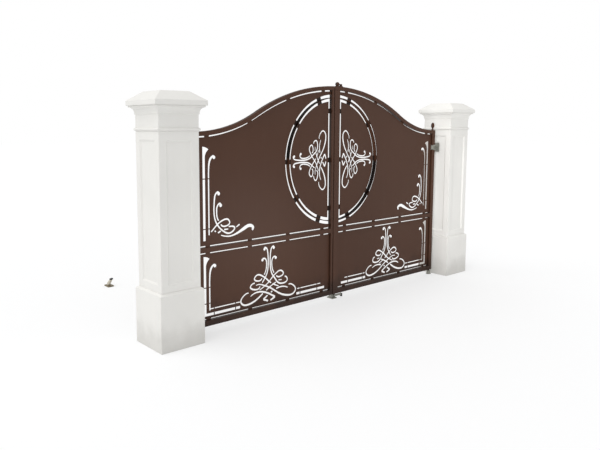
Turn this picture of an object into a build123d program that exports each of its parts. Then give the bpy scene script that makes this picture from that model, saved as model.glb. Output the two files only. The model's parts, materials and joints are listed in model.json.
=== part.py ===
import os
from math import asin, atan2, cos, degrees, pi, sin, sqrt

from build123d import *

os.makedirs("parts", exist_ok=True)

# Driveway gate, millimetres. The origin is the middle of the left pillar's foot,
# X runs along the gate to the right, Y to the side the leaves open to, Z up.
# On a leaf, u is the distance from the gate's middle, the same way on both leaves.

# Pillars
opening = 3500.0
plinth_width = 412.0
plinth_height = 464.0
weathering = 16.0
shaft_width = 368.0
shaft_top = 1757.0
astragal = 12.5
frieze_top = 1888.0
fillet_height = 12.0
fillet_proud = 6.0
cavetto_top = 1944.0
cavetto_proud = 42.0
cornice_top = 1957.0
slab_width = 478.0
slab_top = 1997.0
cap_top = 2071.0
cap_flat = 268.0
panel_width = 240.0
panel_low = 538.0
panel_high = 1688.0
panel_depth = 12.0
panel_splay = 20.0

# Leaf frames, hung a little behind the pillars' middle
leaf_y = 11.0
frame_depth = 43.0
bottom = 56.0
bottom_rail = 50.0
mid_rail_low = 710.0
mid_rail_high = 755.0
top_rail = 39.0
crown = 2194.0
crown_radius = 2102.0
side_top = 1750.0
hinge_axis = 58.0
hinge_stile = 52.0
meeting_edge = 57.0
leaf_gap = 10.0
gap_shift = 24.0

# Sheets
sheet_thickness = 3.0
rail_gap = 12.5
tab_width = 48.0
first_tab = 168.0
tab_pitch = 466.0
tab_count = 4
ring_height = 1456.0
ring_shift = 13.0
ring_radius = 623.0
ring_bar = 8.0
ring_slot = 29.0
ring_tab = 46.0
ring_tab_turn = 35.5
oval_edge = 91.5
oval_tab = 492.0
spacer_depth = 14.0
spacer_lap = 10.0

# Scrollwork, cut as fine polygons within the tolerance
cut_tolerance = 0.8
bulb_sides = 8
pen_weight = 1.12
flourish_u = 868.0
flourish_foot = 148.0
small_scale = 0.865
small_foot = 118.0
bar_u = 1598.5
bar_width = 25.0
inner_bar_u = 1550.0
inner_bar_width = 14.0
upper_head = 1622.0
lower_head = 672.0
line_height = 152.0
thin_line_height = 200.0

# Fittings
eye_height = 1546.0
eye_length = 50.0
eye_radius = 21.0
pin_radius = 11.5
pin_play = 0.5
foot_pin = 12.0
eye_gap = 6.0
wall_plate = (90.0, 106.0, 8.0)
olive_radius = 20.0
olive_neck = 8.0
olive_low = side_top + 24.0
olive_height = 66.0
puck_radius = 29.0
puck_height = 42.0
holdback_u = 1566.0
holdback_y = 1985.0
holdback_base = (72.0, 100.0, 16.0)
holdback_arm = 40.0
holdback_height = 72.0
holdback_lean = 31.0
buffer_size = (38.0, 34.0, 20.0)
stop_body = (68.0, 84.0, 44.0)
stop_centre = (1979.0, 42.0)
stop_arm = (72.0, 24.0, 16.0)
stop_hook = (14.0, 28.0, 34.0)
latch_plate = (1968.0, 2062.0)
latch_knob_x = 1990.0
latch_block_x = 2040.0

pitch = opening + plinth_width
middle = pitch / 2
hinge_u = middle - plinth_width / 2 - hinge_axis
hinge_inner = hinge_u - hinge_stile / 2
# The crown arc runs into the hollow arc where both have the same slope, and the
# hollow arc is level at the hinge axis.
turn = 2 * atan2(crown - side_top, hinge_u)
hollow_radius = hinge_u / sin(turn) - crown_radius
crown_centre = crown - crown_radius
hollow_centre = side_top + hollow_radius
ring_inside = ring_radius - ring_bar / 2 - ring_slot
ring_outside = ring_radius + ring_bar / 2 + ring_slot

olive_start = asin(olive_neck / olive_radius)

front = Plane.XZ.offset(-leaf_y)
sheet_back = Plane.XZ.offset(-leaf_y - sheet_thickness / 2)
sides = ((-1, "left"), (1, "right"))


def save(block, node):
    block.part.label = node
    export_step(block.part, f"parts/{node}.step")


def box_sketch(side, low_u, high_u, low_z, high_z, mode=Mode.ADD):
    with Locations((middle + side * (low_u + high_u) / 2, (low_z + high_z) / 2)):
        Rectangle(high_u - low_u, high_z - low_z, mode=mode)


def crown_point(side, drop, angle):
    reach = crown_radius - drop
    return (middle + side * reach * sin(angle), crown_centre + reach * cos(angle))


def hollow_point(side, drop, angle):
    reach = hollow_radius + drop
    return (middle + side * (hinge_u - reach * sin(angle)), hollow_centre - reach * cos(angle))


def top_curve(side, drop, start, end):
    # the bell curve, drop below the leaf's upper edge, from start to end
    first = asin(start / (crown_radius - drop))
    last = asin((hinge_u - end) / (hollow_radius + drop))
    ThreePointArc(
        crown_point(side, drop, first),
        crown_point(side, drop, (first + turn) / 2),
        crown_point(side, drop, turn),
    )
    ThreePointArc(
        hollow_point(side, drop, turn),
        hollow_point(side, drop, (turn + last) / 2),
        hollow_point(side, drop, last),
    )
    return crown_point(side, drop, first), hollow_point(side, drop, last)


def top_height(u, drop):
    # height of the bell curve at u, drop below the leaf's upper edge
    reach = crown_radius - drop
    if u < reach * sin(turn):
        return crown_centre + sqrt(reach**2 - u**2)
    return hollow_centre - sqrt((hollow_radius + drop) ** 2 - (hinge_u - u) ** 2)


def top_slot(side, start, end):
    # slot between the top rail and the sheet under it
    count = int((end - start) / 80) + 1
    spots = [start + (end - start) * step / count for step in range(count + 1)]
    upper_side = [(middle + side * u, top_height(u, top_rail - 2)) for u in spots]
    lower_side = [(middle + side * u, top_height(u, top_rail + rail_gap)) for u in spots]
    with BuildLine() as outline:
        Polyline(*upper_side, *lower_side[::-1], close=True)
    make_face(outline.edges(), mode=Mode.SUBTRACT)


def thinned(points):
    # leaves out the points of a curve that lie on the chord between their neighbours
    kept = [points[0]]
    start = 0
    for end in range(2, len(points)):
        chord = (points[end] - points[start]).normalized()
        offsets = [(point - points[start]).cross(chord).length for point in points[start:end]]
        if max(offsets) > cut_tolerance:
            start = end - 1
            kept.append(points[start])
    return kept + [points[-1]]


def stroke(place, points, widths):
    # one cut of the scrollwork: a smooth line whose width runs through the widths
    with BuildLine() as spine:
        Spline([place(a, b) for a, b in points])
    curve = spine.edges()[0]
    count = 12 * (len(points) - 1)
    one_side = []
    other_side = []
    for step in range(count + 1):
        along = step / count
        spot = along * (len(widths) - 1)
        index = min(int(spot), len(widths) - 2)
        width = pen_weight * (widths[index] + (widths[index + 1] - widths[index]) * (spot - index))
        point = curve @ along
        heading = curve % along
        across = Vector(-heading.Y, heading.X) * (width / 2)
        one_side.append(point + across)
        other_side.append(point - across)
    with BuildLine() as outline:
        Polyline(*thinned(one_side), *thinned(other_side[::-1]), close=True)
    make_face(outline.edges(), mode=Mode.SUBTRACT)


def flourish(place, size):
    # symmetrical pen flourish: two hooked stems, looped knots, an arch and a sweep
    # on each side. Where one line passes under another, it stops short of it.
    def pen(points, *widths):
        stroke(place, points, [size * width for width in widths])

    hook = [(60, 500), (50, 519), (31, 508), (19, 477), (14, 440), (12, 352), (28, 267), (43, 240)]
    knot = [(63, 217), (95, 172), (170, 140), (230, 165), (222, 192), (196, 203)]
    short_hook = [(85, 400), (71, 417), (48, 411), (34, 387), (32, 347), (40, 300), (61, 260)]
    loop = [(90, 230), (135, 211), (180, 237), (153, 268), (88, 254), (38, 220), (0, 185)]
    tail = [(-42, 157), (-118, 122)]
    sweep = [(0, 129), (53, 97), (118, 54), (205, 17), (268, 7)]
    curl = [(308, 14), (340, 50), (312, 96), (248, 116)]
    arch = [(-226, 80), (-167, 104), (-97, 103), (-2, 68), (73, 24)]
    for way in (1, -1):

        def turned(points):
            return [(way * a, b) for a, b in points]

        pen(turned(short_hook), 13, 12, 11)
        for a, b in ((57, 504), (82, 404)):
            with Locations(place(way * a, b)):
                RegularPolygon(size * 15, bulb_sides, mode=Mode.SUBTRACT)
    pen(hook + knot, 13, 13, 13, 14, 12)
    pen([(-a, b) for a, b in hook] + [(-60, 217), (-84, 187)], 13, 13, 12)
    pen([(-114, 156), (-190, 139), (-228, 168), (-195, 197), (-174, 196)], 12, 14, 11)
    pen(loop + tail, 12, 13, 12, 9)
    pen([(-a, b) for a, b in loop] + [(24, 168)], 12, 13, 12)
    pen([(41, 157), (72, 141), (118, 122)], 11, 9)
    pen([(-161, 174), (-117, 176), (-57, 155)] + sweep + curl, 8, 12, 13, 17, 14, 10)
    pen([(160, 177), (116, 181)], 8, 10)
    pen([(86, 165), (28, 142), (-38, 106)], 11, 12)
    pen([(-78, 83), (-118, 56), (-205, 17), (-268, 7)] + [(-a, b) for a, b in curl], 14, 17, 14, 10)
    pen(arch, 9, 14, 14, 15)
    pen([(73, 24), (16, 0)], 17, 15)
    pen([(236, 88), (167, 109), (88, 101)], 9, 14)
    pen([(40, 86), (20, 75)], 13, 13)
    pen([(-20, 55), (-72, 24)], 14, 15)
    pen([(-72, 24), (-14, 0)], 17, 15)


def corner_scroll(place):
    # half flourish that grows out of the corner of the upper sheet
    def pen(points, *widths):
        stroke(place, points, widths)

    pen(
        [(513, 1206), (502, 1226), (480, 1212), (465, 1165), (459, 1090), (474, 975), (512, 915)]
        + [(560, 874), (630, 851), (682, 885), (616, 911)],
        15, 14, 12, 13, 12, 14, 11,
    )
    pen([(534, 1103), (520, 1125), (498, 1108), (487, 1055), (492, 1005), (508, 973)], 14, 13, 11)
    for spot in ((511, 1211), (531, 1107)):
        with Locations(place(*spot)):
            RegularPolygon(16, bulb_sides, mode=Mode.SUBTRACT)
    pen(
        [(427, 882), (485, 935), (560, 976), (614, 973), (628, 945), (585, 918), (533, 939)],
        11, 12, 13, 12, 12,
    )
    pen([(612, 889), (566, 889)], 10, 12)
    pen([(530, 880), (500, 866)], 12, 14)
    pen([(479, 879), (463, 889)], 10, 10)
    pen([(738, 919), (700, 897)], 14, 9)
    pen(
        [(532, 842), (575, 829), (630, 823), (690, 834), (800, 881), (858, 896), (894, 876), (882, 852)],
        7, 10, 13, 20, 30, 26, 20,
    )


def corner_bars(side, head, foot, breaks):
    # upright bar with a fishtail head, and a thin hooked bar beside it
    def place(u, z):
        return (middle + side * u, z)

    low_u = bar_u - bar_width / 2
    high_u = bar_u + bar_width / 2
    with BuildLine() as outline:
        Line(place(high_u, head), place(high_u, foot))
        Line(place(high_u, foot), place(low_u, foot))
        Line(place(low_u, foot), place(low_u, head - 90))
        ThreePointArc(
            place(low_u, head - 90), place(low_u - 12, head - 52), place(low_u - 38, head - 24)
        )
        ThreePointArc(
            place(low_u - 38, head - 24), place(low_u - 12, head - 8), place(high_u, head)
        )
    make_face(outline.edges(), mode=Mode.SUBTRACT)
    hook = head - 90
    spot = inner_bar_u
    stroke(
        place,
        [(spot - 61, hook - 8), (spot - 50, hook + 8), (spot - 30, hook - 3), (spot - 11, hook - 34)]
        + [(spot - 3, hook - 76), (spot, hook - 132), (spot, hook - 145)],
        [13, 16, 18, 16, 14, 12.5, 12.5],
    )
    with Locations(place(spot - 58, hook - 3)):
        RegularPolygon(16, bulb_sides, mode=Mode.SUBTRACT)
    inner_foot = foot + 47
    box_sketch(
        side, spot - inner_bar_width / 2, spot + inner_bar_width / 2, inner_foot, hook - 140,
        Mode.SUBTRACT,
    )
    # bridges across both bars
    for height in breaks:
        box_sketch(side, inner_bar_u - 9, bar_u + 14, height - 4, height + 4)


for side, name in sides:
    centre_x = middle + side * pitch / 2
    across_x = Plane(origin=(centre_x, 0, 0), x_dir=(1, 0, 0), z_dir=(0, -1, 0))
    across_y = Plane(origin=(centre_x, 0, 0), x_dir=(0, 1, 0), z_dir=(1, 0, 0))

    # Each pillar block is one outline cut both ways, so its mouldings are mitred.
    half = plinth_width / 2
    neck = shaft_width / 2
    with BuildPart() as plinth:
        for plane, mode in ((across_x, Mode.ADD), (across_y, Mode.INTERSECT)):
            with BuildSketch(plane):
                with BuildLine():
                    Polyline(
                        (-half, 0), (half, 0), (half, plinth_height),
                        (neck, plinth_height + weathering), (-neck, plinth_height + weathering),
                        (-half, plinth_height), close=True,
                    )
                make_face()
            extrude(amount=plinth_width, both=True, mode=mode)
    save(plinth, f"{name}_plinth")

    with BuildPart() as shaft:
        with BuildSketch(Plane.XY.offset(plinth_height + weathering)):
            with Locations((centre_x, 0)):
                Rectangle(shaft_width, shaft_width)
        extrude(amount=shaft_top - plinth_height - weathering)
        # sunk panel with splayed edges on every face
        for quarter in range(4):
            face = Plane(
                origin=(centre_x + neck * cos(quarter * pi / 2), neck * sin(quarter * pi / 2), 0),
                x_dir=(-sin(quarter * pi / 2), cos(quarter * pi / 2), 0),
                z_dir=(cos(quarter * pi / 2), sin(quarter * pi / 2), 0),
            )
            with BuildSketch(face):
                with Locations((0, (panel_low + panel_high) / 2)):
                    Rectangle(panel_width, panel_high - panel_low)
            extrude(
                amount=-panel_depth, taper=degrees(atan2(panel_splay, panel_depth)),
                mode=Mode.SUBTRACT,
            )
    save(shaft, f"{name}_shaft")

    with BuildPart() as capital:
        for plane, mode in ((across_x, Mode.ADD), (across_y, Mode.INTERSECT)):
            with BuildSketch(plane):
                with BuildLine():
                    Line((0, shaft_top), (neck, shaft_top))
                    ThreePointArc(
                        (neck, shaft_top), (neck + astragal, shaft_top + astragal),
                        (neck, shaft_top + 2 * astragal),
                    )
                    Polyline(
                        (neck, shaft_top + 2 * astragal), (neck, frieze_top),
                        (neck + fillet_proud, frieze_top),
                        (neck + fillet_proud, frieze_top + fillet_height),
                    )
                    ThreePointArc(
                        (neck + fillet_proud, frieze_top + fillet_height),
                        (neck + fillet_proud + 8, frieze_top + fillet_height + 28),
                        (neck + cavetto_proud, cavetto_top),
                    )
                    Polyline(
                        (neck + cavetto_proud, cavetto_top), (neck + cavetto_proud, cornice_top),
                        (0, cornice_top), (0, shaft_top),
                    )
                make_face()
                mirror(about=Plane.YZ)
            extrude(amount=slab_width, both=True, mode=mode)
    save(capital, f"{name}_capital")

    with BuildPart() as cap:
        for plane, mode in ((across_x, Mode.ADD), (across_y, Mode.INTERSECT)):
            with BuildSketch(plane):
                with BuildLine():
                    Polyline(
                        (-slab_width / 2, cornice_top), (slab_width / 2, cornice_top),
                        (slab_width / 2, slab_top), (cap_flat / 2, cap_top),
                        (-cap_flat / 2, cap_top), (-slab_width / 2, slab_top), close=True,
                    )
                make_face()
            extrude(amount=slab_width, both=True, mode=mode)
    save(cap, f"{name}_cap")

    # wall plate with an eye for the pin of the hinge stile
    axis_x = middle + side * hinge_u
    wall_x = centre_x - side * neck
    plate_width, plate_height, plate_thickness = wall_plate
    with BuildPart() as hinge:
        with BuildSketch(Plane.XY.offset(eye_height - eye_length / 2)):
            with Locations((axis_x, leaf_y)):
                Circle(eye_radius)
            with Locations(((axis_x + wall_x) / 2, leaf_y)):
                Rectangle(abs(wall_x - axis_x), 24)
            with Locations((axis_x, leaf_y)):
                Circle(pin_radius + pin_play, mode=Mode.SUBTRACT)
        extrude(amount=eye_length)
        with BuildSketch(Plane.YZ.offset(wall_x)):
            with Locations((leaf_y, eye_height)):
                Rectangle(plate_width, plate_height)
        extrude(amount=-side * plate_thickness)
    save(hinge, f"{name}_hinge_plate")

    # socket on the ground under the hinge stile
    with BuildPart() as puck:
        with BuildSketch(Plane.XY):
            with Locations((axis_x, leaf_y)):
                Circle(puck_radius)
        extrude(amount=puck_height)
    save(puck, f"{name}_ground_pivot")

    # hinge stile, turned down to a pin inside the eye, with a turned olive on top
    low_notch = eye_height - eye_length / 2 - eye_gap
    high_notch = eye_height + eye_length / 2 + eye_gap
    with BuildPart() as stile:
        with BuildSketch(Plane.XY.offset(bottom)):
            with Locations((axis_x, leaf_y)):
                Rectangle(hinge_stile, frame_depth)
        extrude(amount=side_top - bottom)
        with BuildSketch(Plane.XY.offset(low_notch)):
            with Locations((axis_x, leaf_y)):
                Rectangle(hinge_stile, frame_depth)
                Circle(pin_radius, mode=Mode.SUBTRACT)
        extrude(amount=high_notch - low_notch, mode=Mode.SUBTRACT)
        # pivot pin at the foot, just clear of the socket
        with BuildSketch(Plane.XY.offset(puck_height + 1)):
            with Locations((axis_x, leaf_y)):
                Circle(foot_pin)
        extrude(amount=bottom - puck_height - 1)
        with BuildSketch(Plane(origin=(axis_x, leaf_y, 0), x_dir=(1, 0, 0), z_dir=(0, -1, 0))):
            with BuildLine():
                olive = []
                for step in range(6):
                    angle = olive_start + (pi - olive_start) * step / 5
                    rise = (cos(olive_start) - cos(angle)) / (cos(olive_start) + 1)
                    olive.append((olive_radius * sin(angle), olive_low + olive_height * rise))
                Polyline((0, side_top), (14, side_top), (14, side_top + 10), *olive, close=True)
            make_face()
        revolve(axis=Axis((axis_x, leaf_y, 0), (0, 0, 1)))
    save(stile, f"{name}_hinge_stile")

    gap_u = -side * gap_shift + leaf_gap / 2

    with BuildPart() as meeting:
        with BuildSketch(front):
            with BuildLine():
                low = asin(gap_u / (crown_radius - top_rail))
                high = asin(meeting_edge / (crown_radius - top_rail))
                ThreePointArc(
                    crown_point(side, top_rail, low),
                    crown_point(side, top_rail, (low + high) / 2),
                    crown_point(side, top_rail, high),
                )
                Polyline(
                    crown_point(side, top_rail, high), (middle + side * meeting_edge, bottom),
                    (middle + side * gap_u, bottom), crown_point(side, top_rail, low),
                )
            make_face()
        extrude(amount=frame_depth / 2, both=True)
    save(meeting, f"{name}_meeting_stile")

    with BuildPart() as top:
        with BuildSketch(front):
            with BuildLine():
                a, b = top_curve(side, 0, gap_u, hinge_inner)
                c, d = top_curve(side, top_rail, gap_u, hinge_inner)
                Line(a, c)
                Line(b, d)
            make_face()
        extrude(amount=frame_depth / 2, both=True)
    save(top, f"{name}_top_rail")

    for node, low, high in (
        ("bottom_rail", bottom, bottom + bottom_rail),
        ("mid_rail", mid_rail_low, mid_rail_high),
    ):
        with BuildPart() as rail:
            with BuildSketch(front):
                box_sketch(side, meeting_edge, hinge_inner, low, high)
            extrude(amount=frame_depth / 2, both=True)
        save(rail, f"{name}_{node}")

    # flat bar bent to a half ring
    ring_centre = (middle + side * ring_shift, ring_height)
    tab_turns = [180 * (side < 0) + ring_tab_turn * step for step in (-2, -1, 0, 1, 2)]
    with BuildPart() as ring:
        with BuildSketch(front):
            with Locations(ring_centre):
                Circle(ring_radius + ring_bar / 2)
                Circle(ring_radius - ring_bar / 2, mode=Mode.SUBTRACT)
            box_sketch(side, -hinge_u, meeting_edge, bottom, crown, Mode.SUBTRACT)
        extrude(amount=frame_depth / 2, both=True)
    save(ring, f"{name}_ring")

    def on_leaf(u, z):
        return (middle + side * u, z)

    def in_corner(x, z):
        return on_leaf(middle - x, z)

    def in_lower(a, b):
        return on_leaf(flourish_u - a, flourish_foot + b)

    def in_ring(a, b):
        return on_leaf(small_foot + small_scale * b, ring_height + small_scale * a)

    # half disc inside the ring
    with BuildPart() as disc:
        with BuildSketch(front):
            with Locations(ring_centre):
                Circle(ring_inside)
            box_sketch(side, -hinge_u, oval_edge, bottom, crown, Mode.SUBTRACT)
            flourish(in_ring, small_scale)
        extrude(amount=sheet_thickness / 2, both=True)
        # spacers behind it, out to the ring and the stile
        with BuildSketch(sheet_back):
            for turned in tab_turns:
                with Locations(Location((*ring_centre, 0), (0, 0, turned))):
                    with Locations((ring_inside + (ring_slot - spacer_lap) / 2 + 5, 0)):
                        Rectangle(ring_slot + spacer_lap + 10, ring_tab)
            with Locations(ring_centre):
                Circle(ring_radius - ring_bar / 2, mode=Mode.INTERSECT)
            for height in (-oval_tab, 0, oval_tab):
                box_sketch(
                    side, meeting_edge, oval_edge + spacer_lap,
                    ring_height + height - tab_width / 2, ring_height + height + tab_width / 2,
                )
        extrude(amount=-spacer_depth)
    save(disc, f"{name}_oval_sheet")

    tab_spots = [first_tab + tab_pitch * step for step in range(tab_count)]

    with BuildPart() as upper:
        with BuildSketch(front):
            with BuildLine():
                a, b = top_curve(side, top_rail, meeting_edge, hinge_inner)
                Polyline(
                    a, on_leaf(meeting_edge, mid_rail_high + rail_gap),
                    on_leaf(hinge_inner, mid_rail_high + rail_gap), b,
                )
            make_face()
            for spot in tab_spots:
                box_sketch(
                    side, spot - tab_width / 2, spot + tab_width / 2,
                    mid_rail_high, mid_rail_high + rail_gap + 1,
                )
            slot_starts = [meeting_edge] + [spot + tab_width / 2 for spot in tab_spots]
            slot_ends = [spot - tab_width / 2 for spot in tab_spots] + [hinge_inner]
            for start, end in zip(slot_starts, slot_ends):
                top_slot(side, start, end)
            with Locations(ring_centre):
                Circle(ring_outside, mode=Mode.SUBTRACT)
            corner_bars(side, upper_head, 810, (1347, 912))
            corner_scroll(in_corner)
        extrude(amount=sheet_thickness / 2, both=True)
        # spacers behind it, in to the ring
        with BuildSketch(sheet_back):
            for turned in tab_turns:
                with Locations(Location((*ring_centre, 0), (0, 0, turned))):
                    with Locations((ring_outside - (ring_slot - spacer_lap) / 2 - 5, 0)):
                        Rectangle(ring_slot + spacer_lap + 10, ring_tab)
            with Locations(ring_centre):
                Circle(ring_radius + ring_bar / 2, mode=Mode.SUBTRACT)
        extrude(amount=-spacer_depth)
    save(upper, f"{name}_upper_sheet")

    with BuildPart() as lower:
        with BuildSketch(front):
            box_sketch(
                side, meeting_edge, hinge_inner,
                bottom + bottom_rail + rail_gap, mid_rail_low - rail_gap,
            )
            for spot in tab_spots:
                box_sketch(
                    side, spot - tab_width / 2, spot + tab_width / 2,
                    bottom + bottom_rail, mid_rail_low,
                )
            corner_bars(side, lower_head, line_height - 12, (395, 252))
            # border lines on both sides of the flourish
            for low, high in ((1216, 1611), (126, 516)):
                box_sketch(side, low, high, line_height - 12, line_height + 12, Mode.SUBTRACT)
            for low, high in ((1216, 1555), (181, 506)):
                box_sketch(
                    side, low, high, thin_line_height - 5, thin_line_height + 5, Mode.SUBTRACT
                )
            for spot in (1504, 1268, 466, 231):
                box_sketch(side, spot - 4, spot + 4, line_height - 14, thin_line_height + 7)
            flourish(in_lower, 1)
        extrude(amount=sheet_thickness / 2, both=True)
    save(lower, f"{name}_lower_sheet")

    # holdback on the ground: base plate with a leaning arm, and a rubber buffer on the arm
    base_width, base_depth, base_height = holdback_base
    foot_x = middle + side * holdback_u
    with BuildPart() as holdback:
        with Locations((foot_x, holdback_y, base_height / 2)):
            Box(base_width, base_depth, base_height)
        chamfer(holdback.faces().sort_by(Axis.Z)[-1].edges(), 5)
        with BuildSketch(Plane(origin=(foot_x, holdback_y, 0), x_dir=(-side, 0, 0), z_dir=(0, side, 0))):
            with BuildLine():
                Polyline(
                    (-16, base_height - 1), (2, base_height - 1), (holdback_lean + 2, holdback_height),
                    (holdback_lean - 12, holdback_height), close=True,
                )
            make_face()
        extrude(amount=holdback_arm / 2, both=True)
    save(holdback, f"{name}_holdback")

    with BuildPart() as pad:
        pad_x = foot_x - side * (holdback_lean - 3)
        with Locations((pad_x, holdback_y, holdback_height + buffer_size[2] / 2)):
            Box(*buffer_size)
        chamfer(pad.faces().sort_by(Axis.Z)[-1].edges(), 5)
    save(pad, f"{name}_holdback_buffer")

# stop on the ground under the meeting stiles, with an arm that ends in a rubber hook
with BuildPart() as stop:
    with Locations((*stop_centre, stop_body[2] / 2)):
        Box(*stop_body)
    chamfer(stop.faces().sort_by(Axis.Z)[-1].edges(), 9)
    arm_x = stop_centre[0] + (stop_body[0] + stop_arm[0]) / 2
    arm_y = stop_centre[1] - 26
    with Locations((arm_x, arm_y, 22 + stop_arm[2] / 2)):
        Box(*stop_arm)
save(stop, "centre_stop")

with BuildPart() as tip:
    with Locations((arm_x + (stop_arm[0] + stop_hook[0]) / 2, arm_y, 5 + stop_hook[2] / 2)):
        Box(*stop_hook)
    chamfer(tip.edges().filter_by(Axis.Z), 4)
save(tip, "centre_stop_tip")

# latch on top of the right leaf: plate along the crown, turned knob and a keeper block
with BuildPart() as latch:
    with BuildSketch(front):
        ends = [asin((x - middle) / crown_radius) for x in latch_plate]
        with BuildLine():
            ThreePointArc(
                crown_point(1, 0, ends[0]), crown_point(1, 0, sum(ends) / 2), crown_point(1, 0, ends[1])
            )
            Polyline(
                crown_point(1, 0, ends[1]), (latch_plate[1], crown + 6), (latch_plate[0], crown + 6),
                crown_point(1, 0, ends[0]),
            )
        make_face()
    extrude(amount=11, both=True)
    with BuildSketch(Plane(origin=(latch_knob_x, leaf_y, crown), x_dir=(1, 0, 0), z_dir=(0, -1, 0))):
        with BuildLine():
            Polyline((0, 5), (22, 5), (22, 45), (0, 45), close=True)
        make_face()
    revolve(axis=Axis((latch_knob_x, leaf_y, 0), (0, 0, 1)))
    with Locations((latch_block_x, leaf_y, crown + 16)):
        Box(28, 18, 22)
save(latch, "right_top_latch")
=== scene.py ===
import json
from math import acos, asin, atan2, cos, pi, radians, sin

import bmesh
import bpy
from mathutils import Matrix, Vector


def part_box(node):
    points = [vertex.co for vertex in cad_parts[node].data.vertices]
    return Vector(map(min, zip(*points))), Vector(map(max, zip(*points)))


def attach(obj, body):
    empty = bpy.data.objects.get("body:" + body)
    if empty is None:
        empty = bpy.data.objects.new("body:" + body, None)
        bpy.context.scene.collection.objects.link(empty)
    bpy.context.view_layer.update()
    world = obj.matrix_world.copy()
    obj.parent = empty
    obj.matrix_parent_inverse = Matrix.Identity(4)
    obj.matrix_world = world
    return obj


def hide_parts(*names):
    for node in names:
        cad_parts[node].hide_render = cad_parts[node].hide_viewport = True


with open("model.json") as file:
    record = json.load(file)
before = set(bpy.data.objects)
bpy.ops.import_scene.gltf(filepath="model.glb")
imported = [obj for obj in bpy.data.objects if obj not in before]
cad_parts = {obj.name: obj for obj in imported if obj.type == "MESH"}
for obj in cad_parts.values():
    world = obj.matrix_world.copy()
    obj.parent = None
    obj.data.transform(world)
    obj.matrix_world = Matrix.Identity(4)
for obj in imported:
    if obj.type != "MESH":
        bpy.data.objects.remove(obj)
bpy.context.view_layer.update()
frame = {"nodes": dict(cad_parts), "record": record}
scene = bpy.context.scene
scene.view_settings.view_transform = "Standard"
print("frame:", len(frame["nodes"]), "nodes")

# measures of the gate itself, read from the frame, in metres
middleX = (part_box("left_plinth")[0].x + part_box("right_plinth")[1].x) / 2
leafY = sum(corner.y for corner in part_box("left_mid_rail")) / 2
sides = ((-1, "left"), (1, "right"))


# node helpers: addNode gives a node, and most of the others the socket that it puts out
def addNode(tree, kind, inputs=None, **settings):
    node = tree.nodes.new(kind)
    for key, value in settings.items():
        setattr(node, key, value)
    for key, value in (inputs or {}).items():
        if isinstance(value, bpy.types.NodeSocket):
            tree.links.new(value, node.inputs[key])
        else:
            node.inputs[key].default_value = value
    return node


def objectSpot(tree):
    return addNode(tree, "ShaderNodeTexCoord").outputs["Object"]


def alongAxis(tree, vector, axis):
    return addNode(tree, "ShaderNodeSeparateXYZ", {"Vector": vector}).outputs[axis]


def addNoise(tree, spot, scale, detail, roughness=0.5):
    inputs = {"Vector": spot, "Scale": scale, "Detail": detail, "Roughness": roughness}
    return addNode(tree, "ShaderNodeTexNoise", inputs).outputs["Fac"]


def calculate(tree, operation, *values):
    return addNode(tree, "ShaderNodeMath", dict(enumerate(values)), operation=operation).outputs[0]


def mapRange(tree, value, source, target=(0, 1), blend="LINEAR"):
    limits = {"From Min": source[0], "From Max": source[1], "To Min": target[0], "To Max": target[1]}
    mapped = addNode(tree, "ShaderNodeMapRange", {"Value": value, **limits}, interpolation_type=blend)
    return mapped.outputs["Result"]


def brighten(tree, level, colour):
    return addNode(tree, "ShaderNodeHueSaturation", {"Value": level, "Color": colour}).outputs["Color"]


def mixColour(tree, mask, strength, base, over):
    factor, first, second, result = 0, 6, 7, 2  # sockets of a Mix node that mixes colours
    share = calculate(tree, "MULTIPLY", mask, strength)
    mix = addNode(tree, "ShaderNodeMix", {factor: share, first: base, second: (*over, 1)}, data_type="RGBA")
    return mix.outputs[result]


def makeGroup(name, inputs, outputs):
    group = bpy.data.node_groups.new(name, "ShaderNodeTree")
    kinds = {"colour": "NodeSocketColor", "value": "NodeSocketFloat"}
    for label, kind, value in inputs:
        socket = group.interface.new_socket(label, in_out="INPUT", socket_type=kinds[kind])
        socket.default_value = value
    for label, kind in outputs:
        group.interface.new_socket(label, in_out="OUTPUT", socket_type=kinds[kind])
    return group, addNode(group, "NodeGroupInput").outputs, addNode(group, "NodeGroupOutput").inputs


def placeGroup(tree, group, inputs):
    return addNode(tree, "ShaderNodeGroup", inputs, node_tree=group).outputs[0]


noiseSpan = (0.3, 0.7)  # nearly all values of a noise lie in here

# cloudy tone: lightens and darkens a colour in soft patches
cloudyTone, groupIn, groupOut = makeGroup(
    "cloudyTone",
    [("Colour", "colour", (0.5, 0.5, 0.5, 1)), ("Scale", "value", 4), ("Amount", "value", 0.05)],
    [("Colour", "colour")],
)
patches = addNoise(cloudyTone, objectSpot(cloudyTone), groupIn["Scale"], detail=5)
swing = mapRange(cloudyTone, patches, noiseSpan, (-1, 1))
change = calculate(cloudyTone, "MULTIPLY_ADD", swing, groupIn["Amount"], 1)
cloudyTone.links.new(brighten(cloudyTone, change, groupIn["Colour"]), groupOut["Colour"])

# fine grain: height of a sandy or sprayed surface
fineGrain, groupIn, groupOut = makeGroup("fineGrain", [("Scale", "value", 400)], [("Height", "value")])
grain = addNoise(fineGrain, objectSpot(fineGrain), groupIn["Scale"], detail=4, roughness=0.6)
fineGrain.links.new(grain, groupOut["Height"])

# foot shade and splash: painted contact shade, with splash dirt as well on the stone; strongest at the
# ground, fading out unevenly at the reach
footShadeAndSplashEdge = {"scale": 7, "detail": 6, "unevenness": 0.3, "fullBelow": -0.15}
footShadeAndSplash, groupIn, groupOut = makeGroup("footShadeAndSplash", [("Reach", "value", 0.4)], [("Mask", "value")])
spot = objectSpot(footShadeAndSplash)
height = alongAxis(footShadeAndSplash, spot, "Z")
ragged = addNoise(footShadeAndSplash, spot, footShadeAndSplashEdge["scale"], footShadeAndSplashEdge["detail"])
uneven = calculate(footShadeAndSplash, "MULTIPLY_ADD", ragged, -footShadeAndSplashEdge["unevenness"], height)
fade = mapRange(footShadeAndSplash, uneven, (groupIn["Reach"], footShadeAndSplashEdge["fullBelow"]), blend="SMOOTHSTEP")
footShadeAndSplash.links.new(fade, groupOut["Mask"])

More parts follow.
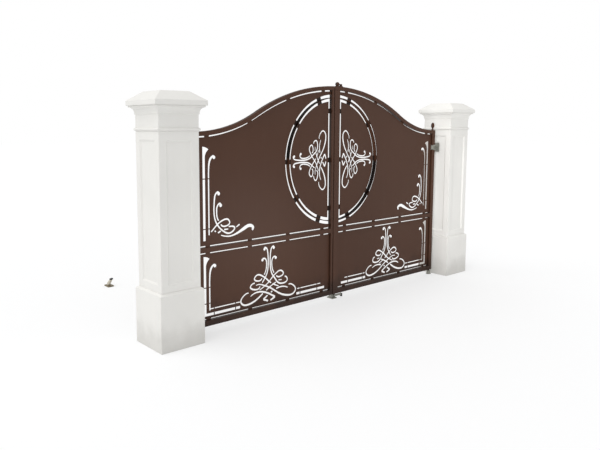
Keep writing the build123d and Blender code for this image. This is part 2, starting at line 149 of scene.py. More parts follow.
# rain streaks: long upright runs, narrower at a larger scale
streakRuns = {"stretch": (1, 1, 0.05), "detail": 3, "span": (0.52, 0.75)}
rainStreaks, groupIn, groupOut = makeGroup("rainStreaks", [("Scale", "value", 30)], [("Mask", "value")])
drawn = addNode(
    rainStreaks, "ShaderNodeMapping", {"Vector": objectSpot(rainStreaks), "Scale": streakRuns["stretch"]}
).outputs["Vector"]
runs = addNoise(rainStreaks, drawn, groupIn["Scale"], streakRuns["detail"])
rainStreaks.links.new(mapRange(rainStreaks, runs, streakRuns["span"]), groupOut["Mask"])

# recess shade: painted shade, 1 on edges and tabs that lie deeper than the face of the sheet
recessLimits = {
    "edgeDepth": (-0.016, 0.004), "tabDepth": (0.002, 0.0028),  # metres behind the face
    "edgeOn": (0.7, 0.3), "tabFront": (-0.3, -0.7),  # how far a side looks along Y
}
recessShade, groupIn, groupOut = makeGroup("recessShade", [("Face", "value", 0)], [("Mask", "value")])
coords = addNode(recessShade, "ShaderNodeTexCoord").outputs
behind = calculate(recessShade, "SUBTRACT", alongAxis(recessShade, coords["Object"], "Y"), groupIn["Face"])
facing = alongAxis(recessShade, coords["Normal"], "Y")
deep = mapRange(recessShade, behind, recessLimits["edgeDepth"], blend="SMOOTHSTEP")
edgeOn = mapRange(recessShade, calculate(recessShade, "ABSOLUTE", facing), recessLimits["edgeOn"])
sunk = mapRange(recessShade, behind, recessLimits["tabDepth"])
toFront = mapRange(recessShade, facing, recessLimits["tabFront"])
edges = calculate(recessShade, "MULTIPLY", deep, edgeOn)
tabs = calculate(recessShade, "MULTIPLY", sunk, toFront)
recessShade.links.new(calculate(recessShade, "MAXIMUM", edges, tabs), groupOut["Mask"])


# what the finishes share
def newFinish(name):
    finish = bpy.data.materials.new(name)
    finish.use_nodes = True
    tree = finish.node_tree
    return finish, tree, tree.nodes["Principled BSDF"]


def patchyTone(tree, look, colour=None):
    inputs = {"Colour": colour or (*look["colour"], 1)}
    inputs.update({"Scale": look["patchScale"], "Amount": look["patchAmount"]})
    return placeGroup(tree, cloudyTone, inputs)


def weatheredAndShadedTone(tree, look):
    # the patchy tone with rain streaks and a darker foot: painted shade, with splash dirt as well on the
    # stone
    streaks = placeGroup(tree, rainStreaks, {"Scale": look["streakScale"]})
    footDarkening = placeGroup(tree, footShadeAndSplash, {"Reach": look["footShadeAndSplashReach"]})
    tone = patchyTone(tree, look)
    streaked = mixColour(tree, streaks, look["streakStrength"], tone, look["streakColour"])
    return mixColour(tree, footDarkening, look["footShadeAndSplashStrength"], streaked, look["footShadeAndSplashColour"])


def setGrain(tree, shader, look):
    grain = placeGroup(tree, fineGrain, {"Scale": look["grainScale"]})
    bump = addNode(
        tree, "ShaderNodeBump", {"Height": grain, "Strength": look["bump"], "Distance": look["grainDepth"]}
    )
    tree.links.new(bump.outputs["Normal"], shader.inputs["Normal"])
    tree.links.new(mapRange(tree, grain, noiseSpan, look["roughness"]), shader.inputs["Roughness"])


# pillars: smooth white cast stone, a little grey at the foot from splashes and from painted contact shade
stoneLook = {
    "colour": (0.775, 0.765, 0.735), "patchScale": 2.2, "patchAmount": 0.025,
    "streakColour": (0.66, 0.65, 0.62), "streakStrength": 0.10, "streakScale": 22,
    # the grey at the foot is splash dirt with painted contact shade
    "footShadeAndSplashColour": (0.40, 0.385, 0.36), "footShadeAndSplashStrength": 0.40, "footShadeAndSplashReach": 0.12,
    "grainScale": 380, "grainDepth": 0.0006, "bump": 0.25, "roughness": (0.78, 0.92), "gloss": 0.3,
}


def castStone(look):
    finish, tree, shader = newFinish("castStone")
    tree.links.new(weatheredAndShadedTone(tree, look), shader.inputs["Base Color"])
    setGrain(tree, shader, look)
    shader.inputs["Specular IOR Level"].default_value = look["gloss"]
    return finish


# leaves: brown textured powder coat, with painted shade at the foot, in the recesses and on the upper sides
# of the ring
paintLook = {
    "colour": (0.070, 0.0295, 0.0160), "patchScale": 1.6, "patchAmount": 0.05,
    "streakColour": (0.085, 0.045, 0.030), "streakStrength": 0.10, "streakScale": 40,
    # the near-black foot is painted shade
    "footShadeAndSplashColour": (0.014, 0.007, 0.005), "footShadeAndSplashStrength": 0.8, "footShadeAndSplashReach": 0.16,
    # painted shade in the recesses and on the tabs behind the sheet
    "recessShadeColour": (0.010, 0.006, 0.005), "recessShadeStrength": 0.85,
    "sheetFace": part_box("left_lower_sheet")[0].y,
    "grainScale": 1100, "grainDepth": 0.0004, "bump": 0.35, "roughness": (0.46, 0.62), "gloss": 0.23,
}
ringLook = {
    **paintLook, "streakStrength": 0.02, "recessShadeStrength": 0.0, "gloss": 0.06,
    # painted shade on the ring's upward faces
    "topShadeColour": (0.0035, 0.0020, 0.0015), "topShadeSpan": (0.02, 0.07),
}


def shadeTops(tree, base, look):
    # painted shade where a face looks upwards
    facing = addNode(tree, "ShaderNodeTexCoord").outputs["Normal"]
    tops = mapRange(tree, alongAxis(tree, facing, "Z"), look["topShadeSpan"])
    return mixColour(tree, tops, 1, base, look["topShadeColour"])


def powderCoat(name, look):
    finish, tree, shader = newFinish(name)
    recessShading = placeGroup(tree, recessShade, {"Face": look["sheetFace"]})
    tone = weatheredAndShadedTone(tree, look)
    shaded = mixColour(tree, recessShading, look["recessShadeStrength"], tone, look["recessShadeColour"])
    if "topShadeColour" in look:
        shaded = shadeTops(tree, shaded, look)
    tree.links.new(shaded, shader.inputs["Base Color"])
    setGrain(tree, shader, look)
    shader.inputs["Specular IOR Level"].default_value = look["gloss"]
    return finish


# fittings: dull zinc with soft spangles, and bronze that is worn pale above the base
steelLook = {
    "spangleTone": (0.88, 1.12), "wornHeight": (0.016, 0.024), "wornStrength": 0.9, "patchScale": 30,
    "patchAmount": 0.12, "grainScale": 700, "grainDepth": 0.0003, "bump": 0.3, "roughness": (0.42, 0.58),
    "metallic": 0.6,
}
zincLook = {**steelLook, "colour": (0.30, 0.30, 0.265), "worn": (0.30, 0.30, 0.265), "spangle": 140}
bronzeLook = {**steelLook, "colour": (0.20, 0.165, 0.105), "worn": (0.56, 0.52, 0.43), "spangle": 90}


def coatedSteel(name, look):
    finish, tree, shader = newFinish(name)
    spot = objectSpot(tree)
    cells = addNode(tree, "ShaderNodeTexVoronoi", {"Vector": spot, "Scale": look["spangle"]})
    level = mapRange(tree, cells.outputs["Color"], (0, 1), look["spangleTone"])
    spangled = brighten(tree, level, (*look["colour"], 1))
    raised = mapRange(tree, alongAxis(tree, spot, "Z"), look["wornHeight"])
    worn = mixColour(tree, raised, look["wornStrength"], spangled, look["worn"])
    tree.links.new(patchyTone(tree, look, worn), shader.inputs["Base Color"])
    setGrain(tree, shader, look)
    shader.inputs["Metallic"].default_value = look["metallic"]
    return finish


# buffers: black moulded rubber with a grey bloom
rubberLook = {
    "colour": (0.020, 0.020, 0.021), "patchScale": 60, "patchAmount": 0.3,
    "grainScale": 900, "grainDepth": 0.0003, "bump": 0.3, "roughness": (0.7, 0.9),
}


def blackRubber(look):
    finish, tree, shader = newFinish("blackRubber")
    tree.links.new(patchyTone(tree, look), shader.inputs["Base Color"])
    setGrain(tree, shader, look)
    return finish


finishes = {
    "masonry": castStone(stoneLook),
    "gate_paint": powderCoat("powderCoat", paintLook),
    "galvanised": coatedSteel("dullZinc", zincLook),
    "bronze_steel": coatedSteel("bronzeSteel", bronzeLook),
    "rubber": blackRubber(rubberLook),
}
# the ring's finish paints shade on its upward faces
ringTopShadedPaint = powderCoat("topShadedPowderCoat", ringLook)
for part in frame["record"]["subparts"]:
    slots = frame["nodes"][part["node"]].data.materials
    slots.clear()
    slots.append(finishes[part["material_slot"]])
print("finishes:", ", ".join(sorted(finishes)))

# mesh helpers, with distances in metres and angles in degrees
meshing = {"weld": 0.000002, "turnedWeld": 0.000005, "cornerFrom": 40, "shadeBreak": 32}


def firstFace(items):
    return next(item for item in items if isinstance(item, bmesh.types.BMFace))


def roundOff(bm, geom, width, segments, affect="EDGES"):
    bmesh.ops.bevel(
        bm, geom=geom, offset=width, offset_type="OFFSET", affect=affect,
        segments=segments, profile=0.5, material=-1,
    )


def softenEdges(bm, width, fromAngle):
    sharp = [edge for edge in bm.edges if edge.calc_face_angle(0) > radians(fromAngle)]
    roundOff(bm, sharp, width, segments=2)


def joinInto(bm, part, place):
    part.transform(place)
    loose = bpy.data.meshes.new("loose")
    part.to_mesh(loose)
    part.free()
    bm.from_mesh(loose)
    bpy.data.meshes.remove(loose)


def fillBox(low, high):
    # takes a unit cube to the box from low to high
    return Matrix.Translation((low + high) / 2) @ Matrix.Diagonal((*(high - low), 1))


def standOn(foot, axis):
    return Matrix.Translation(foot) @ Vector(axis).to_track_quat("Z", "Y").to_matrix().to_4x4()


def addBlock(bm, low, high, rounding, segments=3):
    place = fillBox(Vector(low), Vector(high))
    made = bmesh.ops.create_cube(bm, size=1, matrix=place)["verts"]
    roundOff(bm, list({edge for vert in made for edge in vert.link_edges}), rounding, segments)


def addPrism(bm, outline, lowY, highY, rounding):
    # outline holds (x, z) pairs, drawn out from lowY to highY
    prism = bmesh.new()
    face = prism.faces.new([prism.verts.new((x, lowY, z)) for x, z in outline])
    grown = bmesh.ops.extrude_face_region(prism, geom=[face])["geom"]
    farVerts = [item for item in grown if isinstance(item, bmesh.types.BMVert)]
    bmesh.ops.translate(prism, verts=farVerts, vec=(0, highY - lowY, 0))
    bmesh.ops.recalc_face_normals(prism, faces=prism.faces)
    softenEdges(prism, rounding, meshing["cornerFrom"])
    joinInto(bm, prism, Matrix.Identity(4))


def addTurned(bm, outline, foot, axis=(0, 0, 1), steps=32):
    # outline holds (radius, height) pairs, turned round the axis that stands on foot
    turned = bmesh.new()
    verts = [turned.verts.new((radius, 0, height)) for radius, height in outline]
    edges = [turned.edges.new(pair) for pair in zip(verts, verts[1:])]
    bmesh.ops.spin(
        turned, geom=verts + edges, cent=(0, 0, 0), axis=(0, 0, 1), dvec=(0, 0, 0),
        angle=2 * pi, steps=steps, use_merge=True, use_normal_flip=False, use_duplicate=False,
    )
    bmesh.ops.remove_doubles(turned, verts=turned.verts, dist=meshing["turnedWeld"])
    bmesh.ops.recalc_face_normals(turned, faces=turned.faces)
    joinInto(bm, turned, standOn(foot, axis))


# bolts: a washer and a hexagon head, in shares of the washer's radius, sunk by a millimetre
boltShape = {
    "washer": 0.18, "rimHeight": 0.8, "rimRadius": 0.94, "head": 0.577, "headHeight": 0.6,
    "softening": 0.06, "sink": 0.001,
}


def addBolt(bm, spot, axis, radius, shape=boltShape):
    foot = [place - shape["sink"] * way for place, way in zip(spot, axis)]
    thick = shape["washer"] * radius
    rim = [(radius, shape["rimHeight"] * thick), (shape["rimRadius"] * radius, thick)]
    addTurned(bm, [(0, 0), (radius, 0), *rim, (0, thick)], foot, axis, steps=24)
    head = bmesh.new()
    height, headRadius = shape["headHeight"] * radius, shape["head"] * radius
    bmesh.ops.create_cone(
        head, cap_ends=True, segments=6, radius1=headRadius, radius2=headRadius,
        depth=height, matrix=Matrix.Translation((0, 0, thick + height / 2)),
    )
    softenEdges(head, shape["softening"] * radius, meshing["cornerFrom"])
    joinInto(bm, head, standOn(foot, axis))


def finishPiece(name, bm, body, slotName, *replaced, finish=None):
    bmesh.ops.remove_doubles(bm, verts=bm.verts, dist=meshing["weld"])
    bmesh.ops.recalc_face_normals(bm, faces=bm.faces)
    for face in bm.faces:
        face.smooth = True
    for edge in bm.edges:
        edge.smooth = edge.calc_face_angle(0) < radians(meshing["shadeBreak"])
    mesh = bpy.data.meshes.new(name)
    bm.to_mesh(mesh)
    bm.free()
    mesh.materials.append(finish or finishes[slotName])
    piece = bpy.data.objects.new(name, mesh)
    scene.collection.objects.link(piece)
    evenShade = piece.modifiers.new("evenShade", "WEIGHTED_NORMAL")  # keeps large faces flat
    evenShade.keep_sharp = True
    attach(piece, body)
    if replaced:
        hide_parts(*replaced)


# pillars: plinth, shaft with sunk panels, capital and cap
pillarShape = {
    "plinthTop": 0.464, "neck": 0.184, "astragal": 0.0125, "astragalSteps": 8, "friezeTop": 1.888,
    "filletHeight": 0.012, "filletProud": 0.006, "cavettoRise": 0.044, "cavettoReach": 0.036,
    "cavettoSteps": 7, "slabTop": 1.997, "capFlat": 0.134, "panelHalf": 0.120, "panelLow": 0.538,
    "panelHigh": 1.688, "panelSplay": 0.020, "panelDepth": 0.012, "softening": 0.003, "softenFrom": 25,
}


def pushOut(value, centre, half):
    return centre + (half if value > centre else -half)


def stackedBlock(centreX, outline):
    # a square that grows upwards through (half width, height) pairs
    bm = bmesh.new()
    half, height = outline[0]
    bmesh.ops.create_grid(
        bm, x_segments=1, y_segments=1, size=half, matrix=Matrix.Translation((centreX, 0, height))
    )
    top = foot = next(iter(bm.faces))
    for half, height in outline[1:]:
        under = top
        top = firstFace(bmesh.ops.extrude_face_region(bm, geom=[under])["geom"])
        if under is not foot and under.is_valid:  # it would lie inside the block
            bmesh.ops.delete(bm, geom=[under], context="FACES_ONLY")
        for vert in top.verts:
            vert.co = (pushOut(vert.co.x, centreX, half), pushOut(vert.co.y, 0, half), height)
    bmesh.ops.recalc_face_normals(bm, faces=bm.faces)
    return bm


def shaftBlock(low, high, shape):
    bm = bmesh.new()
    bmesh.ops.create_cube(bm, size=1, matrix=fillBox(low, high))
    centreX, centreZ = (low.x + high.x) / 2, (low.z + high.z) / 2
    firstInset = 0.05  # any inset will do, because the panel's corners are placed after it
    for face in [face for face in bm.faces if abs(face.normal.z) < 0.5]:
        bmesh.ops.inset_individual(bm, faces=[face], thickness=firstInset, depth=0)
        for vert in face.verts:
            vert.co.z = shape["panelHigh"] if vert.co.z > centreZ else shape["panelLow"]
            if abs(face.normal.y) > 0.5:
                vert.co.x = pushOut(vert.co.x, centreX, shape["panelHalf"])
            else:
                vert.co.y = pushOut(vert.co.y, 0, shape["panelHalf"])
        bmesh.ops.inset_individual(
            bm, faces=[face], thickness=shape["panelSplay"], depth=-shape["panelDepth"]
        )
    return bm


def capitalOutline(low, high, shape):
    neck, bead, beadSteps = shape["neck"], shape["astragal"], shape["astragalSteps"]
    outline = [(neck, low)]
    for step in range(1, beadSteps + 1):  # half-round bead
        turn = pi * step / beadSteps
        outline.append((neck + bead * sin(turn), low + bead * (1 - cos(turn))))
    fillet = neck + shape["filletProud"]
    hollowFoot = shape["friezeTop"] + shape["filletHeight"]
    outline += [(neck, shape["friezeTop"]), (fillet, shape["friezeTop"]), (fillet, hollowFoot)]
    reach, rise, hollowSteps = shape["cavettoReach"], shape["cavettoRise"], shape["cavettoSteps"]
    for step in range(1, hollowSteps + 1):  # hollow under the slab
        turn = pi / 2 * step / hollowSteps
        outline.append((fillet + reach * (1 - cos(turn)), hollowFoot + rise * sin(turn)))
    outline.append((fillet + reach, high))
    return outline


def makePillar(name, shape):
    boxes = {part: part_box(f"{name}_{part}") for part in ("plinth", "shaft", "capital", "cap")}
    foot, slab = boxes["plinth"], boxes["cap"]
    centreX = (foot[0].x + foot[1].x) / 2
    footHalf, slabHalf = (foot[1].x - foot[0].x) / 2, (slab[1].x - slab[0].x) / 2
    outlines = {
        "plinth": [(footHalf, 0), (footHalf, shape["plinthTop"]), (shape["neck"], foot[1].z)],
        "capital": capitalOutline(boxes["capital"][0].z, boxes["capital"][1].z, shape),
        "cap": [(slabHalf, slab[0].z), (slabHalf, shape["slabTop"]), (shape["capFlat"], slab[1].z)],
    }
    for part, box in boxes.items():
        bm = stackedBlock(centreX, outlines[part]) if part in outlines else shaftBlock(*box, shape)
        softenEdges(bm, shape["softening"], shape["softenFrom"])
        finishPiece(f"{name}{part.title()}", bm, "pillars", "masonry", f"{name}_{part}")


for _, name in sides:
    makePillar(name, pillarShape)
print("pillars made")


# leaf frames: rounded tubes, the bell-curved rail, the ring, and the hinge stile with its pins and olive
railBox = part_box("left_mid_rail")
leafShape = {
    "railDepth": railBox[1].y - railBox[0].y, "railHeight": 0.039, "rounding": 0.003, "railSteps": 40,
    "crown": 2.194, "crownRadius": 2.102, "sideTop": 1.750, "ringHeight": 1.456, "ringShift": 0.013,
    "ringRadius": 0.623, "ringBar": 0.008, "ringRounding": 0.0015, "ringSteps": 72,
    "eyeLength": 0.050, "eyeGap": 0.006, "pinRadius": 0.0115, "footPin": 0.012, "pinSink": 0.004,
    "collar": [(0, -0.002), (0.014, -0.002), (0.014, 0.006), (0.012, 0.010), (0.0085, 0.016)],
    "oliveNeck": 0.008, "oliveRadius": 0.020, "oliveFoot": 0.024, "oliveHeight": 0.066,
    "oliveStart": (0.41, 0.917), "oliveSteps": 14,  # angle at the neck with its cosine
}


def fromMiddle(side, box):
    # the least and the greatest distance of a box from the middle of the gate
    return sorted(side * (corner.x - middleX) for corner in box)


def addSection(bm, inner, outer, rounding, shape):
    # rounded rectangle in the XY plane, as deep as a rail
    place = Matrix.Translation((0, (inner + outer) / 2, 0))
    place = place @ Matrix.Diagonal((shape["railDepth"], outer - inner, 1, 1))
    bmesh.ops.create_grid(bm, x_segments=1, y_segments=1, size=0.5, matrix=place)
    roundOff(bm, list(bm.verts), rounding, segments=3, affect="VERTICES")
    return next(iter(bm.faces))


def standSection(bm, angle, centre):
    # stands it upright across the leaf, turns it and moves it to the centre of its sweep
    upright = Matrix(((0, 0, 1, 0), (1, 0, 0, 0), (0, 1, 0, 0), (0, 0, 0, 1)))
    bmesh.ops.transform(bm, matrix=upright, verts=bm.verts)
    bmesh.ops.rotate(bm, verts=bm.verts, cent=(0, 0, 0), matrix=Matrix.Rotation(angle, 3, "Y"))
    bmesh.ops.translate(bm, verts=bm.verts, vec=centre)


def sweepRound(bm, face, centre, angle, steps):
    made = bmesh.ops.spin(
        bm, geom=[face], cent=centre, axis=(0, 1, 0), dvec=(0, 0, 0), angle=angle, steps=steps,
        use_merge=False, use_normal_flip=False, use_duplicate=False,
    )
    return firstFace(made["geom_last"])


def makeTopRail(side, name, shape):
    near, far = fromMiddle(side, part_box(f"{name}_top_rail"))
    hinge = sum(fromMiddle(side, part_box(f"{name}_hinge_stile"))) / 2
    radius = shape["crownRadius"]
    turn = 2 * atan2(shape["crown"] - shape["sideTop"], hinge)
    hollowRadius = hinge / sin(turn) - radius
    first, last = asin(near / radius), asin((hinge - far) / hollowRadius)
    crownCentre = Vector((middleX, leafY, shape["crown"] - radius))
    hollowCentre = Vector((middleX + side * hinge, leafY, shape["sideTop"] + hollowRadius))
    bm = bmesh.new()
    face = addSection(bm, radius - shape["railHeight"], radius, shape["rounding"], shape)
    standSection(bm, side * first, crownCentre)
    middle = sweepRound(bm, face, crownCentre, side * (turn - first), shape["railSteps"])
    sweepRound(bm, middle, hollowCentre, -side * (turn - last), shape["railSteps"])
    bmesh.ops.delete(bm, geom=[middle], context="FACES_ONLY")  # this one lies inside the rail
    finishPiece(f"{name}TopRail", bm, f"{name}_leaf", "gate_paint", f"{name}_top_rail")


def makeRing(side, name, shape):
    near = fromMiddle(side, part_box(f"{name}_ring"))[0]
    radius, bar = shape["ringRadius"], shape["ringBar"] / 2
    reach = acos((near - shape["ringShift"]) / radius)
    centre = Vector((middleX + side * shape["ringShift"], leafY, shape["ringHeight"]))
    bm = bmesh.new()
    face = addSection(bm, radius - bar, radius + bar, shape["ringRounding"], shape)
    standSection(bm, side * (pi / 2 - reach), centre)
    sweepRound(bm, face, centre, side * 2 * reach, shape["ringSteps"])
    finishPiece(f"{name}Ring", bm, f"{name}_leaf", "gate_paint", f"{name}_ring", finish=ringTopShadedPaint)


def oliveOutline(shape):
    start, startCosine = shape["oliveStart"]
    foot, steps = shape["oliveFoot"], shape["oliveSteps"]
    outline = [*shape["collar"], (shape["oliveNeck"], foot)]
    for step in range(1, steps + 1):
        angle = start + (pi - start) * step / steps
        rise = (startCosine - cos(angle)) / (startCosine + 1)
        outline.append((shape["oliveRadius"] * sin(angle), foot + shape["oliveHeight"] * rise))
    return outline


def makeHingeStile(name, shape):
    low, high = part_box(f"{name}_hinge_stile")
    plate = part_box(f"{name}_hinge_plate")
    axisX = (low.x + high.x) / 2
    half = shape["railDepth"] / 2
    foot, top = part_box(f"{name}_bottom_rail")[0].z, shape["sideTop"]
    eye = (plate[0].z + plate[1].z) / 2
    notch = shape["eyeLength"] / 2 + shape["eyeGap"]
    bm = bmesh.new()
    for start, end in ((foot, eye - notch), (eye + notch, top)):
        addBlock(bm, (low.x, leafY - half, start), (high.x, leafY + half, end), shape["rounding"])
    grip = notch + shape["pinSink"]
    for radius, start, end in (
        (shape["pinRadius"], eye - grip, eye + grip), (shape["footPin"], low.z, foot + shape["pinSink"])
    ):
        pin = [(0, start), (radius, start), (radius, end), (0, end)]
        addTurned(bm, pin, (axisX, leafY, 0), steps=40)
    addTurned(bm, oliveOutline(shape), (axisX, leafY, top), steps=36)
    finishPiece(f"{name}HingeStile", bm, f"{name}_leaf", "gate_paint", f"{name}_hinge_stile")


def makeTube(name, node, pieceName, rounding):
    low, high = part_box(f"{name}_{node}")
    bm = bmesh.new()
    addBlock(bm, low, high, rounding)
    finishPiece(f"{name}{pieceName}", bm, f"{name}_leaf", "gate_paint", f"{name}_{node}")


for side, name in sides:
    makeTopRail(side, name, leafShape)
    makeRing(side, name, leafShape)
    makeHingeStile(name, leafShape)
    makeTube(name, "bottom_rail", "BottomRail", leafShape["rounding"])
    makeTube(name, "mid_rail", "MidRail", leafShape["rounding"])
    makeTube(name, "meeting_stile", "MeetingStile", leafShape["rounding"])
print("leaf frames made")


# upper hinges: wall plate with bolts, arm and eye
hingeShape = {
    "plate": 0.008, "rounding": 0.002, "bolt": 0.009, "boltY": 0.034, "boltZ": 0.042,
    "collar": [(0, -0.002), (0.027, -0.002), (0.027, 0.004), (0.024, 0.006), (0, 0.006)],
    "armHalf": 0.0115, "armHeight": 0.017, "armSink": 0.002, "armEnd": 0.0165,
    "reach": 0.080, "eyeRadius": 0.021, "eyeHalf": 0.025, "eyeChamfer": 0.002, "bore": 0.012,
}


def makeHinge(side, name, shape):
    low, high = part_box(f"{name}_hinge_plate")
    wallX, out = (low.x, 1) if side < 0 else (high.x, -1)
    centreY, centreZ = (low.y + high.y) / 2, (low.z + high.z) / 2
    faceX, axisX = wallX + out * shape["plate"], wallX + out * shape["reach"]
    bm = bmesh.new()
    backX, frontX = sorted((wallX, faceX))
    addBlock(bm, (backX, low.y, low.z), (frontX, high.y, high.z), shape["rounding"])
    addTurned(bm, shape["collar"], (faceX, centreY, centreZ), (out, 0, 0))
    startX, endX = sorted((faceX - out * shape["armSink"], axisX - out * shape["armEnd"]))
    addBlock(
        bm, (startX, centreY - shape["armHalf"], centreZ - shape["armHeight"]),
        (endX, centreY + shape["armHalf"], centreZ + shape["armHeight"]), shape["rounding"],
    )
    bore, radius, half, cut = shape["bore"], shape["eyeRadius"], shape["eyeHalf"], shape["eyeChamfer"]
    eye = [
        (bore, -half), (radius - cut, -half), (radius, cut - half), (radius, half - cut),
        (radius - cut, half), (bore, half), (bore, -half),
    ]
    addTurned(bm, eye, (axisX, centreY, centreZ), steps=40)
    for spotY in (centreY - shape["boltY"], centreY + shape["boltY"]):
        for spotZ in (centreZ - shape["boltZ"], centreZ + shape["boltZ"]):
            addBolt(bm, (faceX, spotY, spotZ), (out, 0, 0), shape["bolt"])
    finishPiece(f"{name}HingePlate", bm, "pillars", "galvanised", f"{name}_hinge_plate")


# ground pivots: turned sockets
pivotOutline = [
    (0, 0), (0.029, 0), (0.029, 0.009), (0.0275, 0.011), (0.022, 0.015), (0.0205, 0.028),
    (0.0225, 0.031), (0.0225, 0.037), (0.020, 0.041), (0.013, 0.042), (0, 0.042),
]


def makePivot(name, outline):
    low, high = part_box(f"{name}_ground_pivot")
    bm = bmesh.new()
    addTurned(bm, outline, ((low.x + high.x) / 2, (low.y + high.y) / 2, 0), steps=40)
    finishPiece(f"{name}GroundPivot", bm, "pillars", "galvanised", f"{name}_ground_pivot")


# holdbacks: bolted base, curved arm and a tilted rubber pad
holdbackShape = {
    "base": 0.016, "rounding": 0.005, "bolt": 0.008, "boltY": 0.034, "armHalf": 0.020,
    "armRounding": 0.0015,
    "arm": [
        (-0.024, 0.012), (-0.015, 0.036), (0.000, 0.057), (0.016, 0.0705), (0.033, 0.0737),
        (0.022, 0.054), (0.012, 0.036), (0.010, 0.012),
    ],
    "pad": (0.034, 0.032, 0.013), "padRounding": 0.003, "padTilt": 11, "padDrop": 0.003,
}


def makeHoldback(side, name, shape):
    low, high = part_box(f"{name}_holdback")
    centreX, centreY = (low.x + high.x) / 2, (low.y + high.y) / 2
    bm = bmesh.new()
    addBlock(bm, low, (high.x, high.y, shape["base"]), shape["rounding"])
    outline = [(centreX - side * along, up) for along, up in shape["arm"]]
    addPrism(
        bm, outline, centreY - shape["armHalf"], centreY + shape["armHalf"], shape["armRounding"]
    )
    for spotY in (centreY - shape["boltY"], centreY + shape["boltY"]):
        addBolt(bm, (centreX, spotY, shape["base"]), (0, 0, 1), shape["bolt"])
    finishPiece(f"{name}Holdback", bm, "pillars", "bronze_steel", f"{name}_holdback")

    low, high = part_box(f"{name}_holdback_buffer")
    half = Vector(shape["pad"]) / 2
    pad = bmesh.new()
    addBlock(pad, -half, half, shape["padRounding"])
    tilt = Matrix.Rotation(side * radians(shape["padTilt"]), 4, "Y")
    bm = bmesh.new()
    joinInto(bm, pad, Matrix.Translation((low + high) / 2 - Vector((0, 0, shape["padDrop"]))) @ tilt)
    finishPiece(f"{name}HoldbackBuffer", bm, "pillars", "rubber", f"{name}_holdback_buffer")


# centre stop: bolted base, rounded body, arm and rubber hook
stopShape = {
    "baseWidth": 0.068, "base": 0.010, "rounding": 0.003, "bolt": 0.007, "boltX": (0.018, 0.050),
    "boltY": 0.009, "bodyStart": 0.008, "bodyEnd": 0.004, "bodySide": 0.018, "bodyLow": 0.004,
    "bodyRounding": 0.008, "armStart": 0.030, "armLow": 0.022, "armHigh": 0.038, "armHalf": 0.012,
    "armBack": 0.026, "tipRounding": 0.004,
}


def makeStop(shape):
    low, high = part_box("centre_stop")
    endX = low.x + shape["baseWidth"]
    bm = bmesh.new()
    addBlock(bm, low, (endX, high.y, shape["base"]), shape["rounding"])
    addBlock(
        bm, (low.x + shape["bodyStart"], low.y + shape["bodySide"], shape["bodyLow"]),
        (endX - shape["bodyEnd"], high.y - shape["bodySide"], high.z), shape["bodyRounding"], segments=4,
    )
    armY = (low.y + high.y) / 2 - shape["armBack"]
    addBlock(
        bm, (low.x + shape["armStart"], armY - shape["armHalf"], shape["armLow"]),
        (high.x, armY + shape["armHalf"], shape["armHigh"]), shape["rounding"],
    )
    for along in shape["boltX"]:
        for spotY in (low.y + shape["boltY"], high.y - shape["boltY"]):
            addBolt(bm, (low.x + along, spotY, shape["base"]), (0, 0, 1), shape["bolt"])
    finishPiece("centreStop", bm, "pillars", "galvanised", "centre_stop")

    low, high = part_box("centre_stop_tip")
    bm = bmesh.new()
    addBlock(bm, low, high, shape["tipRounding"])
    finishPiece("centreStopTip", bm, "pillars", "rubber", "centre_stop_tip")


# latch on the crown: plate, ball knob and keeper
latchShape = {
    "plateTop": 0.006, "plateHalf": 0.011, "plateRounding": 0.0015, "plateSteps": 6, "knobX": 0.022,
    "knobFoot": [(0, 0.004), (0.013, 0.004), (0.013, 0.007), (0.010, 0.009)],
    "ball": 0.0218, "ballHeight": 0.0232,
    "ballSteps": (3, 16),  # the first that shows, and all of half a turn
    "keeperX": 0.072, "keeperHalf": (0.014, 0.009), "keeperLow": 0.004, "keeperHigh": 0.027,
    "keeperRounding": 0.005,
}


def makeLatch(shape, leaf):
    low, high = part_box("right_top_latch")
    crown, radius, steps = leaf["crown"], leaf["crownRadius"], shape["plateSteps"]
    outline = [(low.x, crown + shape["plateTop"]), (high.x, crown + shape["plateTop"])]
    for step in range(steps + 1):  # the underside follows the rail
        x = high.x + (low.x - high.x) * step / steps
        outline.append((x, crown - radius + (radius**2 - (x - middleX) ** 2) ** 0.5))
    bm = bmesh.new()
    addPrism(
        bm, outline, leafY - shape["plateHalf"], leafY + shape["plateHalf"], shape["plateRounding"]
    )
    knob = list(shape["knobFoot"])
    firstStep, ballSteps = shape["ballSteps"]
    for step in range(firstStep, ballSteps + 1):
        angle = pi * step / ballSteps
        knob.append((shape["ball"] * sin(angle), shape["ballHeight"] - shape["ball"] * cos(angle)))
    addTurned(bm, knob, (low.x + shape["knobX"], leafY, crown), steps=36)
    keeperX = low.x + shape["keeperX"]
    halfX, halfY = shape["keeperHalf"]
    addBlock(
        bm, (keeperX - halfX, leafY - halfY, crown + shape["keeperLow"]),
        (keeperX + halfX, leafY + halfY, crown + shape["keeperHigh"]), shape["keeperRounding"], segments=4,
    )
    finishPiece("rightTopLatch", bm, "right_leaf", "gate_paint", "right_top_latch")


for side, name in sides:
    makeHinge(side, name, hingeShape)
    makePivot(name, pivotOutline)
    makeHoldback(side, name, holdbackShape)
makeStop(stopShape)
makeLatch(latchShape, leafShape)
print("fittings made")


# floor, light and camera
floorLook = {
    "colour": (0.93, 0.935, 0.94), "patchScale": 0.6, "patchAmount": 0.004, "roughness": 0.9, "glow": 0.55,
    "half": 60, "drop": 0.0005,
}
skyLook = {"strength": 0.76}
sunLook = {"strength": 1.25, "angle": 60, "path": (0.56, -0.10, -0.82)}
pillarFill = {
    "strength": 3.6, "place": (0.9, -1.2, 1.1), "aim": (3.73, -0.45, 1.08), "size": (0.5, 1.9),
    "spread": 36, "glossy": False,
}
leafFill = {
    "strength": 1.0, "place": (2.4, -2.4, 0.7), "aim": (0.85, 0.0, 0.6), "size": (0.7, 0.7),
    "spread": 40, "glossy": True,
}


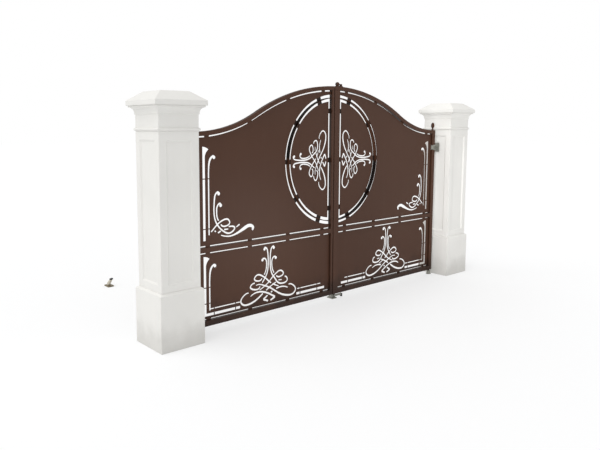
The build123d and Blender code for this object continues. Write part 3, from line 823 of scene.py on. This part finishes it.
def seenDirectly(tree):
    # 1 for what the camera sees, also through glass or in a mirror
    rays = addNode(tree, "ShaderNodeLightPath").outputs
    seen = calculate(tree, "MAXIMUM", rays["Is Camera Ray"], rays["Is Glossy Ray"])
    return calculate(tree, "MAXIMUM", seen, rays["Is Transmission Ray"])


def addFloor(look):
    bm = bmesh.new()
    place = Matrix.Translation((middleX, 0, -look["drop"]))
    bmesh.ops.create_grid(bm, x_segments=1, y_segments=1, size=look["half"], matrix=place)
    floorMesh = bpy.data.meshes.new("floor")
    bm.to_mesh(floorMesh)
    bm.free()
    floor = bpy.data.objects.new("floor", floorMesh)
    scene.collection.objects.link(floor)
    finish, tree, shader = newFinish("paleFloor")
    tree.links.new(patchyTone(tree, look), shader.inputs["Base Color"])
    shader.inputs["Roughness"].default_value = look["roughness"]
    shader.inputs["Specular IOR Level"].default_value = 0
    glow = addNode(tree, "ShaderNodeEmission", {"Strength": 1})
    share = calculate(tree, "MULTIPLY", seenDirectly(tree), look["glow"])
    blend = addNode(
        tree, "ShaderNodeMixShader", {0: share, 1: shader.outputs["BSDF"], 2: glow.outputs["Emission"]}
    )
    tree.links.new(blend.outputs["Shader"], tree.nodes["Material Output"].inputs["Surface"])
    floorMesh.materials.append(finish)


def setSky(look):
    world = bpy.data.worlds.new("studioSky")
    scene.world = world
    world.use_nodes = True
    tree = world.node_tree
    sky = tree.nodes["Background"]
    level = mapRange(tree, seenDirectly(tree), (0, 1), (look["strength"], 1))
    tree.links.new(level, sky.inputs["Strength"])
    sky.inputs["Color"].default_value = (1, 1, 1, 1)


def aimLamp(lamp, path):
    scene.collection.objects.link(lamp)
    lamp.rotation_euler = Vector(path).to_track_quat("-Z", "Y").to_euler()


def addSun(look):
    sun = bpy.data.lights.new("softSun", "SUN")
    sun.energy = look["strength"]
    sun.angle = radians(look["angle"])
    aimLamp(bpy.data.objects.new("softSun", sun), look["path"])


def addFill(name, look):
    fill = bpy.data.lights.new(name, "AREA")
    fill.energy = look["strength"]
    fill.shape = "RECTANGLE"
    fill.size, fill.size_y = look["size"]
    fill.spread = radians(look["spread"])
    lamp = bpy.data.objects.new(name, fill)
    lamp.location = look["place"]
    lamp.visible_camera = False
    lamp.visible_glossy = look["glossy"]
    aimLamp(lamp, Vector(look["aim"]) - Vector(look["place"]))


# the view of the photograph, in its pixels; the sensor is in millimetres
view = {
    "place": (-2.5029, -4.2218, 1.7863), "pitch": -0.112, "yaw": -0.6991, "focalPixels": 598.807,
    "principalPoint": (266.593, 194.534), "size": (600, 450), "sensor": 36, "farthest": 200,
}


def setCamera(look):
    width, height = look["size"]
    pointX, pointY = look["principalPoint"]
    lens = bpy.data.cameras.new("photoView")
    lens.sensor_width = look["sensor"]
    lens.lens = look["sensor"] * look["focalPixels"] / width
    lens.shift_x = (width / 2 - pointX) / width
    lens.shift_y = -(height / 2 - pointY) / width
    lens.clip_end = look["farthest"]
    camera = bpy.data.objects.new("photoView", lens)
    camera.location = look["place"]
    camera.rotation_euler = (pi / 2 + look["pitch"], 0, look["yaw"])
    scene.collection.objects.link(camera)
    scene.camera = camera


addFloor(floorLook)
setSky(skyLook)
addSun(sunLook)
addFill("pillarFill", pillarFill)
addFill("leafFill", leafFill)
setCamera(view)
print("stage set")
